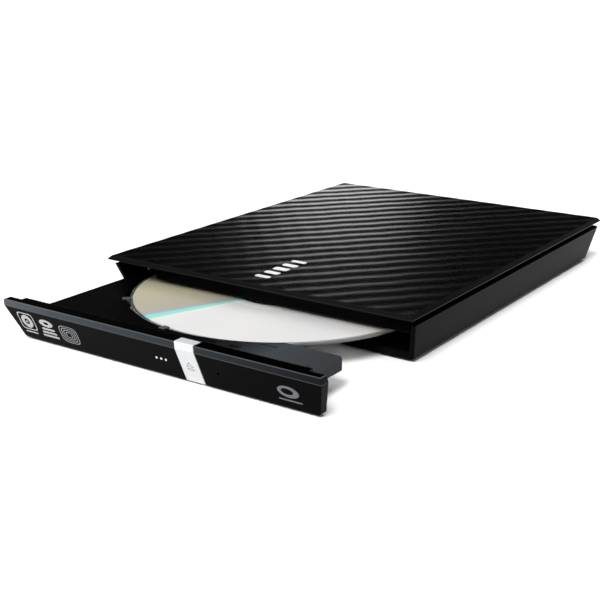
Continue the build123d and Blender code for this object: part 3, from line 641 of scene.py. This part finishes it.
def lid_mesh():
    """Top as a grid, its border dropped to the rim, and one flat face underneath."""
    low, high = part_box("lid_panel")
    xs = edge_spaced(low.x, high.x, 0.72 * MM, 0.28 * MM, 2.3 * MM)
    ys = edge_spaced(low.y, high.y, 0.72 * MM, 0.28 * MM, 2.3 * MM)
    x, y = np.meshgrid(xs, ys)
    top = np.stack([x, y, lid_top(x, y, low, high)], axis=-1)
    rows, columns = x.shape
    index = np.arange(rows * columns).reshape(rows, columns)
    border = np.concatenate([index[0, :-1], index[:-1, -1], index[-1, :0:-1], index[:0:-1, 0]])
    ring = top.reshape(-1, 3)[border].copy()
    ring[:, 2] = low.z
    lower = rows * columns + np.arange(len(border))
    sides = np.stack([lower, np.roll(lower, -1), np.roll(border, -1), border], axis=-1)
    faces = [*grid_faces(rows, columns, wrap_columns=False), *sides, lower[::-1]]
    return np.concatenate([top.reshape(-1, 3), ring]), faces


lid = make_piece("ridged_lid", *lid_mesh(), [FINISHES["patterned_black"]], smooth_deg=50)
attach(lid, "case")
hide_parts("lid_panel")


# %% [markdown]
# ## Flat marks
# The badge on the lid and the marks on the bezel are thin plates and prints. Real ones carry names, and
# these don't: a row of plain blocks, and disc symbols made of rings and bars. Every outline here is one
# formula, a superellipse, which is a circle at power 2 and nearly a rectangle at power 8.

# %% Plates from outlines
def oval(cx, cy, a, b, power=2.0, count=48):
    """Superellipse round a centre: x = a |cos t|^(2/p), y = b |sin t|^(2/p), with their own signs."""
    t = np.linspace(0, 2 * pi, count, endpoint=False) + pi / count
    x = a * np.sign(np.cos(t)) * np.abs(np.cos(t)) ** (2 / power)
    y = b * np.sign(np.sin(t)) * np.abs(np.sin(t)) ** (2 / power)
    return np.stack([cx + x, cy + y], axis=-1)


def ring_plate(outer, inner):
    """Frame between two matching outlines: four loops round it, closed both ways."""
    flat = [(outer, 1), (inner, 1), (inner, 0), (outer, 0)]
    points = np.concatenate([np.column_stack([loop, np.full(len(loop), level)]) for loop, level in flat])
    return points, grid_faces(4, len(outer), wrap_rows=True)[:, ::-1]


def full_plate(outline):
    """Filled plate: a loop above, a loop below, the wall between them and a face on each."""
    n = len(outline)
    points = np.concatenate([np.column_stack([outline, np.full(n, level)]) for level in (1, 0)])
    top, low = np.arange(n), np.arange(n, 2 * n)
    return points, [*grid_faces(2, n)[:, ::-1], top, low[::-1]]


def join_plates(plates):
    """One list of points and faces from several plates."""
    points, faces, start = [], [], 0
    for p, f in plates:
        points.append(p)
        faces += [np.asarray(face) + start for face in f]
        start += len(p)
    return np.concatenate(points), faces


def printed(name, dark, light, roughness):
    """Screen-printed ink with a slightly uneven edge of tone."""
    material, tree, shader, place = new_material(name)
    shade = tones(tree, drift(tree, place, 0.8, 0, 1), dark, light)
    wire(tree, shader, {"Base Color": shade, "Roughness": roughness, "IOR": 1.5,
                        "Normal": bumps(tree, place, 0.5, 0.003)})
    return material


# %% Badge on the lid
def badge_mesh():
    """Five plain blocks in a row along the lid's depth, level with its crests and slimmer to the ends."""
    low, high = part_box("lid_panel")
    cx, cy = (low.x + high.x) / 2 - 0.5 * MM, low.y + 23.0 * MM
    plates = []
    for i in range(-2, 3):
        half_y = (1.7 - 0.25 * abs(i)) * MM
        plates.append(full_plate(oval(cx, cy + i * 5.9 * MM, 3.3 * MM, half_y, 6)))
    points, faces = join_plates(plates)
    points[:, 2] = np.where(points[:, 2] > 0.5, high.z, high.z - 0.6 * MM)
    return points, faces


def badge_metal():
    """Polished aluminium foil badge."""
    material, tree, shader, place = new_material("badge_aluminium")
    shade = tones(tree, drift(tree, place, 2, 0, 1), "e6e7e8", "f6f6f7")
    rough = drift(tree, place, 1, 0.28, 0.36)
    wire(tree, shader, {"Base Color": shade, "Metallic": 0.3, "Roughness": rough})
    return material


badge = make_piece("lid_badge", *badge_mesh(), [badge_metal()])
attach(badge, "case")


# %% Marks on the bezel
BAND_HEIGHT = 2.6 * MM      # upright band along the bezel's top
BAND_LEAN = 0.2 * MM
FACE_LEAN = 5.5 * MM        # how far the face leans back from the band to the lower edge
bezel_low, bezel_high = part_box("front_bezel")


def on_face(points, thickness, proud):
    """Lays flat points (across, up, level) on the leaning face: level 1 stands proud of it, level 0 is sunk
    in it. y = y of the band's lower edge + lean * (drop below it / height of the face)."""
    band_z = bezel_high.z - BAND_HEIGHT
    share = (band_z - points[:, 1]) / (band_z - bezel_low.z)
    y = bezel_low.y + BAND_LEAN + FACE_LEAN * share - proud + thickness * (1 - points[:, 2])
    return np.column_stack([points[:, 0], y, points[:, 1]])


def face_mark(name, plates, material, body, thickness=0.12 * MM, proud=0.04 * MM):
    """A mark of several plates on the bezel's face, given in millimetres across and above the floor."""
    points, faces = join_plates(plates)
    points[:, :2] *= MM
    piece = make_piece(name, on_face(points, thickness, proud), faces, [material])
    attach(piece, body)


def disc_symbol(cx, cy, size):
    """A disc in a rounded frame: frame, disc edge, label ring and hub."""
    return [ring_plate(oval(cx, cy, size, size * 0.9, 6), oval(cx, cy, size - 0.45, size * 0.9 - 0.45, 6)),
            ring_plate(oval(cx, cy, size * 0.68, size * 0.68), oval(cx, cy, size * 0.3, size * 0.3)),
            full_plate(oval(cx, cy, size * 0.13, size * 0.13, count=16))]


def bar_stack(cx, cy, half, rows, gap):
    """Bars of falling length, one above another."""
    return [full_plate(oval(cx, cy + i * gap, half * (1 - 0.12 * i), gap * 0.3, 8, 24)) for i in range(rows)]


bright_ink = printed("bright_ink", "98999b", "b0b1b3", 0.5)
grey_ink = printed("grey_ink", "606163", "747577", 0.5)
dim_ink = printed("dim_ink", "4b4e52", "5c6065", 0.45)
face_mark("mark_disc", disc_symbol(-61.8, 8.4, 4.1) + [full_plate(oval(-61.8, 3.7, 3.2, 0.3, 8, 24))],
          bright_ink, "tray")
face_mark("mark_bars", bar_stack(-51.4, 4.0, 4.2, 3, 1.5) + [ring_plate(oval(-51.4, 9.6, 3.4, 1.6),
          oval(-51.4, 9.6, 1.3, 0.6))], bright_ink, "tray")
rings = [ring_plate(oval(-40.6, 7.0, r, r * 0.8, 4), oval(-40.6, 7.0, r - 0.5, r * 0.8 - 0.4, 4))
         for r in (4.6, 3.6, 2.6, 1.6)]
face_mark("mark_rings", rings, grey_ink, "tray")
face_mark("mark_right", [ring_plate(oval(56.4, 7.4, 4.2, 2.3), oval(56.0, 7.5, 2.4, 1.2))]
          + [full_plate(oval(56.4, 3.9, 4.6, 0.3, 8, 24))], dim_ink, "tray")

# %% Eject symbol on the strip
strip_low, strip_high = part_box("eject_button")
STRIP_PROUD = 0.1           # the strip stands this far in front of the face, in mm
symbol_x = (strip_low.x + strip_high.x) / 2 / MM


def triangle(cx, foot, half, height):
    """Three corners of a triangle that points up."""
    return np.array([[cx + half, foot], [cx, foot + height], [cx - half, foot]])


symbol_ink = printed("symbol_ink", "3a3b3d", "4c4d50", 0.5)
face_mark("eject_symbol",
          [ring_plate(triangle(symbol_x, 7.1, 1.6, 2.0), triangle(symbol_x, 7.3, 1.15, 1.4)),
           ring_plate(oval(symbol_x, 6.1, 1.6, 0.42, 8, 24), oval(symbol_x, 6.1, 1.38, 0.22, 8, 24))],
          symbol_ink, "eject_button", proud=(STRIP_PROUD + 0.03) * MM)


# %% [markdown]
# ## The disc
# A disc is 1.2 mm of clear polycarbonate with a mirror layer that stops short of the rim and the hub. Its
# spiral track is so fine that it bends light into colours, in wedges that meet along a line through the
# centre. A profile turned about the axis gives the body, the faces are sorted by radius into clear and
# silver, and a map of angle and radius carries the wedges and the direction of the track.

# %% Disc finishes
SILVER_FROM = 18.4 * MM
SILVER_TO = 58.7 * MM
RAINBOW = ["a9c8f0", "8fe9f4", "7fe0b4", "bff0c9", "e9ebea"]


def disc_silver():
    """Mirror layer under clear plastic. The colour is read from the angle: wedges of warm grey and white,
    with a narrow spectrum where they meet. On a real disc the wedges stay with the lamp, and these turn with
    the disc. The track makes the gloss stretch across it."""
    material, tree, shader, place = new_material("disc_silver")
    turn = add(tree, "SeparateXYZ", {"Vector": add(tree, "UVMap", uv_map="turn").outputs["UV"]}).outputs["X"]
    wedges = add(tree, "ValToRGB", {"Fac": turn})
    stops = [(0.0, "aca68c"), (0.10, "b9b299"), (0.175, "b4b0a2")]
    stops += [(0.180 + 0.0035 * i, tint) for i, tint in enumerate(RAINBOW)]
    stops += [(0.215, "e6e7e6"), (0.30, "ecebe9"), (0.40, "e6e6e6"), (0.455, "e9e4da"), (0.50, "d8d6d0"),
              (0.60, "c4c2bb"), (0.675, "b4b3af")]
    stops += [(0.680 + 0.0035 * i, tint) for i, tint in enumerate(RAINBOW)]
    stops += [(0.72, "e4e5e5"), (0.90, "dfdfdd"), (0.96, "c0bdb2"), (1.0, "a9a596")]
    set_stops(wedges.color_ramp, stops)
    shade = wedges.outputs["Color"]
    tangent = add(tree, "Tangent", direction_type="UV_MAP", uv_map="turn").outputs["Tangent"]
    rough = drift(tree, place, 20, 0.38, 0.44)
    wire(tree, shader, {"Base Color": shade, "Metallic": 0.2, "Roughness": rough,
                        "IOR": 1.58, "Anisotropic": 0.6, "Tangent": tangent, "Coat Weight": 0.4,
                        "Coat Roughness": 0.03})
    return material


def clear_polycarbonate():
    """Clear moulded polycarbonate, index of refraction 1.58."""
    material, tree, shader, place = new_material("clear_polycarbonate")
    wire(tree, shader, {"Base Color": linear("eef1f2"), "Roughness": drift(tree, place, 10, 0.02, 0.06),
                        "IOR": 1.58, "Transmission Weight": 0.95})
    return material


# %% Disc body
def disc_profile(low, high, centre):
    """Half section, radius and height in order round it: flat below, a rounded rim, and above it the clear
    rim, the silver area, a groove beside the stacking ring, and the hole's edge."""
    r_out = high.x - centre.x
    z0, z1 = low.z, high.z
    edge = 0.3 * MM
    t = np.linspace(-pi / 2, pi / 2, 9)
    rim = np.column_stack([r_out - edge + edge * np.cos(t), (z0 + z1) / 2 + ((z1 - z0) / 2) * np.sin(t)])
    below = np.array([[7.5 * MM, z0], [15 * MM, z0], [SILVER_FROM, z0], [SILVER_TO, z0]])
    above = [(SILVER_TO, 0), (57.9, 0), (50, 0), (40, 0), (30, 0), (23.2, 0), (22.8, -0.04), (22.4, 0),
             (18.9, 0), (SILVER_FROM, 0), (17.9, 0), (17.6, -0.14), (17.0, -0.14), (16.7, 0), (15.2, 0),
             (7.9, 0), (7.5, -0.25)]
    scaled = [(r if r < 1 else r * MM, z1 + drop * MM) for r, drop in above]
    return np.concatenate([below, rim, np.array(scaled)])


def turned_mesh(profile, centre, count):
    """Profile carried round the vertical line through centre: x = cx + r cos t, y = cy + r sin t."""
    t = np.linspace(0, 2 * pi, count, endpoint=False)
    r, z = profile[:, :1], profile[:, 1:]
    x = centre.x + r * np.cos(t)
    y = centre.y + r * np.sin(t)
    points = np.stack([x, y, np.broadcast_to(z, x.shape)], axis=-1).reshape(-1, 3)
    return points, grid_faces(len(profile), count, wrap_rows=True)


def map_turn(mesh, centre):
    """A UV map of angle and radius: u = (angle + 180 degrees) / 360 degrees, v = radius over 60 mm. The
    corners of one face stay on one side of the seam."""
    points = np.empty(len(mesh.vertices) * 3)
    mesh.vertices.foreach_get("co", points)
    corner = np.empty(len(mesh.loops), int)
    mesh.loops.foreach_get("vertex_index", corner)
    place = points.reshape(-1, 3)[corner] - np.array(centre)
    u = (np.arctan2(place[:, 1], place[:, 0]) + pi) / (2 * pi)
    quads = u.reshape(-1, 4)
    wraps = (quads.max(axis=1) - quads.min(axis=1) > 0.5)[:, None]
    u = np.where(wraps & (quads < 0.5), quads + 1.0, quads).reshape(-1)
    v = np.hypot(place[:, 0], place[:, 1]) / (60 * MM)
    mesh.uv_layers.new(name="turn").data.foreach_set("uv", np.column_stack([u, v]).ravel())


def sort_by_radius(mesh, centre):
    """Material 1 inside SILVER_FROM and outside SILVER_TO, and material 0 between them."""
    middles = np.empty(len(mesh.polygons) * 3)
    mesh.polygons.foreach_get("center", middles)
    away = middles.reshape(-1, 3) - np.array(centre)
    radius = np.hypot(away[:, 0], away[:, 1])
    clear = (radius < SILVER_FROM) | (radius > SILVER_TO)
    mesh.polygons.foreach_set("material_index", clear.astype(np.int32))


disc_low, disc_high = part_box("optical_disc")
spindle = (disc_low + disc_high) / 2
disc = make_piece("disc_120", *turned_mesh(disc_profile(disc_low, disc_high, spindle), spindle, 240),
                  [disc_silver(), clear_polycarbonate()], smooth_deg=25)
map_turn(disc.data, spindle)
sort_by_radius(disc.data, spindle)
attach(disc, "spindle")
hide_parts("optical_disc")


# %% [markdown]
# ## Spring and ribbon
# The eject spring is a coil round the plunger, drawn at one length that does not change as the plunger goes
# in. The ribbon is folded back under the tray, as one strip that stays in place when the tray moves. Both
# are paths with a section carried along them.

# %% Eject spring
SPRING_WIRE = 0.18 * MM
SPRING_TURNS = 11


def coil_mesh(low, high, steps=24, around=8):
    """Tube along a helix: the middle line is (r cos a, y, r sin a), and the section is spanned by the
    outward direction and the direction square to it and to the path."""
    cx, cz = (low.x + high.x) / 2, (low.z + high.z) / 2
    radius = (high.x - low.x) / 2 - SPRING_WIRE
    a = np.linspace(0, 2 * pi * SPRING_TURNS, SPRING_TURNS * steps + 1)
    share = a / a[-1]
    ends = 0.06
    eased = np.clip((share - ends) / (1 - 2 * ends), 0, 1)
    y = low.y + SPRING_WIRE * (1 + 2 * np.minimum(share, ends) / ends)
    y = y + (high.y - low.y - 6 * SPRING_WIRE) * eased
    y = y + 2 * SPRING_WIRE * np.clip((share - 1 + ends) / ends, 0, 1)
    middle = np.column_stack([cx + radius * np.cos(a), y, cz + radius * np.sin(a)])
    out = np.column_stack([np.cos(a), np.zeros_like(a), np.sin(a)])
    tangent = np.gradient(middle, axis=0)
    tangent /= np.linalg.norm(tangent, axis=1, keepdims=True)
    side = np.cross(tangent, out)
    t = np.linspace(0, 2 * pi, around, endpoint=False)
    ring = out[:, None] * np.cos(t)[None, :, None] + side[:, None] * np.sin(t)[None, :, None]
    points = (middle[:, None] + SPRING_WIRE * ring).reshape(-1, 3)
    last = len(points) - around + np.arange(around)
    return points, [*grid_faces(len(a), around)[:, ::-1], np.arange(around), last[::-1]]


spring_low, spring_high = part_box("eject_spring")
spring = make_piece("coil_spring", *coil_mesh(spring_low, spring_high), [FINISHES["bright_steel"]])
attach(spring, "tray")
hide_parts("eject_spring")
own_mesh(spring)


# %% Ribbon cable
RIBBON_T = 0.1 * MM


def ribbon_mesh(low, high):
    """Flat strip folded in a U: a run along the bottom, a half turn, and a shorter run on top. The section
    is a thin rectangle whose edge is offset from the path along its normal."""
    upper_end = low.y + 44.0 * MM
    r = (high.z - low.z) / 2 - RIBBON_T / 2
    mid = (low.z + high.z) / 2
    t = np.linspace(-pi / 2, pi / 2, 13)
    fold = np.column_stack([low.y + RIBBON_T / 2 + r - r * np.cos(t), mid + r * np.sin(t)])
    under = np.column_stack([np.linspace(high.y, fold[0, 0], 40)[:-1], np.full(39, fold[0, 1])])
    over = np.column_stack([np.linspace(fold[-1, 0], upper_end, 40)[1:], np.full(39, fold[-1, 1])])
    path = np.concatenate([under, fold, over])
    ahead = np.gradient(path, axis=0)
    ahead /= np.linalg.norm(ahead, axis=1, keepdims=True)
    normal = np.column_stack([-ahead[:, 1], ahead[:, 0]])
    corners = [(low.x, -1), (high.x, -1), (high.x, 1), (low.x, 1)]
    loops = [np.column_stack([np.full(len(path), x), path + side * normal * RIBBON_T / 2])
             for x, side in corners]
    points = np.stack(loops, axis=1).reshape(-1, 3)
    last = len(points) - 4 + np.arange(4)
    return points, [*grid_faces(len(path), 4), np.arange(4)[::-1], last]


ribbon_low, ribbon_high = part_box("flat_cable")
ribbon = make_piece("ribbon_cable", *ribbon_mesh(ribbon_low, ribbon_high), [FINISHES["ribbon"]], 50)
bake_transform(ribbon)
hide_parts("flat_cable")
